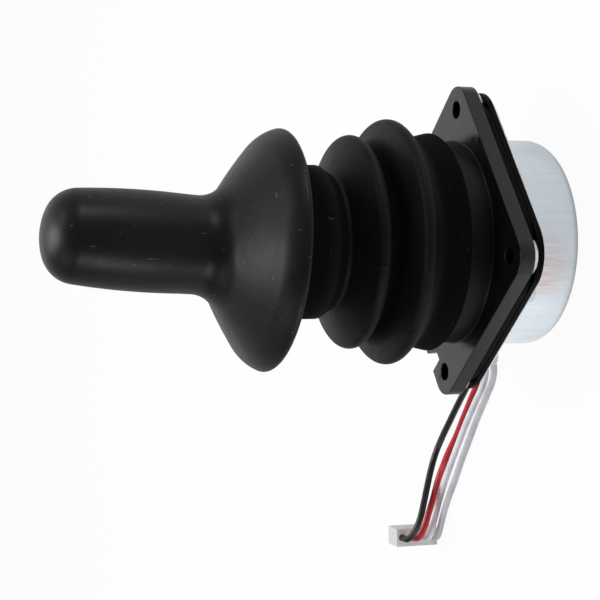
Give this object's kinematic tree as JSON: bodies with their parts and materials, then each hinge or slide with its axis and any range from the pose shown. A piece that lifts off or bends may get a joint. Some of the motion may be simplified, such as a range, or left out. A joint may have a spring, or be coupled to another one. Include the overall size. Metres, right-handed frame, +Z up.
{
  "type": "wheelchair joystick",
  "caption": "Wheelchair joystick: black rubber bell knob and bellows gaiter on a square mounting plate, zinc can behind, sprung two-axis gimbal and loose wires to a small plug",
  "frame": {"origin": "middle of the can's underside, below the lever's axis", "axes": "+Z up the lever, +X away from the wire exit, +Y to the left of +X seen from above"},
  "size_m": [0.1114, 0.0498, 0.1036],
  "materials": {
    "rubber_black": "matte moulded rubber",
    "gaiter_black": "thin matte rubber",
    "plate_black": "semi-gloss moulding",
    "frame_black": "glossy black coat",
    "seal_black": "smooth rubber",
    "zinc_sheet": "zinc plated, fine draw marks",
    "zinc_small": "bright zinc plate",
    "steel_turned": "turned steel",
    "spring_steel": "drawn spring wire",
    "nylon_pale": "natural nylon",
    "nylon_dark": "dark filled nylon",
    "bronze_bush": "sintered bronze",
    "alloy_ring": "machined alloy",
    "magnet_plate": "nickel plated",
    "board_green": "solder mask",
    "chip_black": "moulded package",
    "plug_white": "translucent nylon",
    "contact_tin": "tinned brass",
    "pvc_black": "wire insulation",
    "pvc_red": "wire insulation",
    "pvc_white": "wire insulation",
    "pvc_grey": "wire insulation"
  },
  "bodies": {
    "base": {"can": "zinc_sheet", "rear_frame": "frame_black", "flange_gasket": "seal_black", "corner_spacers": "zinc_small", "front_plate": "plate_black", "flange_screws": "zinc_small", "gimbal_housing": "nylon_pale", "housing_screws": "zinc_small", "housing_bushes": "bronze_bush", "spring_washer": "zinc_small", "centring_spring": "spring_steel", "gaiter": "gaiter_black", "sensor_board": "board_green", "board_screws": "zinc_small", "hall_sensors": "chip_black", "signal_chip": "chip_black", "wire_header": "plug_white", "wire_grommet": "seal_black", "wire_black": "pvc_black", "wire_red": "pvc_red", "wire_white": "pvc_white", "wire_grey": "pvc_grey", "connector_housing": "plug_white", "crimp_contacts": "contact_tin"},
    "ring": {"gimbal_ring": "alloy_ring", "ring_pins": "steel_turned", "ring_bushes": "bronze_bush"},
    "lever": {"lever_hub": "nylon_dark", "lever_pin": "steel_turned", "lever_shaft": "steel_turned", "magnet_holder": "nylon_dark", "sensor_magnet": "magnet_plate", "gaiter_collar": "nylon_dark", "collar_clip": "spring_steel", "knob_core": "nylon_dark", "knob": "rubber_black"}
  },
  "joints": [
    {"name": "tilt_x", "type": "hinge", "parent": "base", "child": "ring", "pos_m": [0, 0, 0.01795], "axis": [1, 0, 0], "range_deg": [-18, 18], "stiffness_Nm_per_rad": 0.25, "deforming": ["gaiter", "centring_spring"]},
    {"name": "tilt_y", "type": "hinge", "parent": "ring", "child": "lever", "pos_m": [0, 0, 0.01795], "axis": [0, 1, 0], "range_deg": [-18, 18], "stiffness_Nm_per_rad": 0.25, "deforming": ["gaiter", "centring_spring"]}
  ]
}
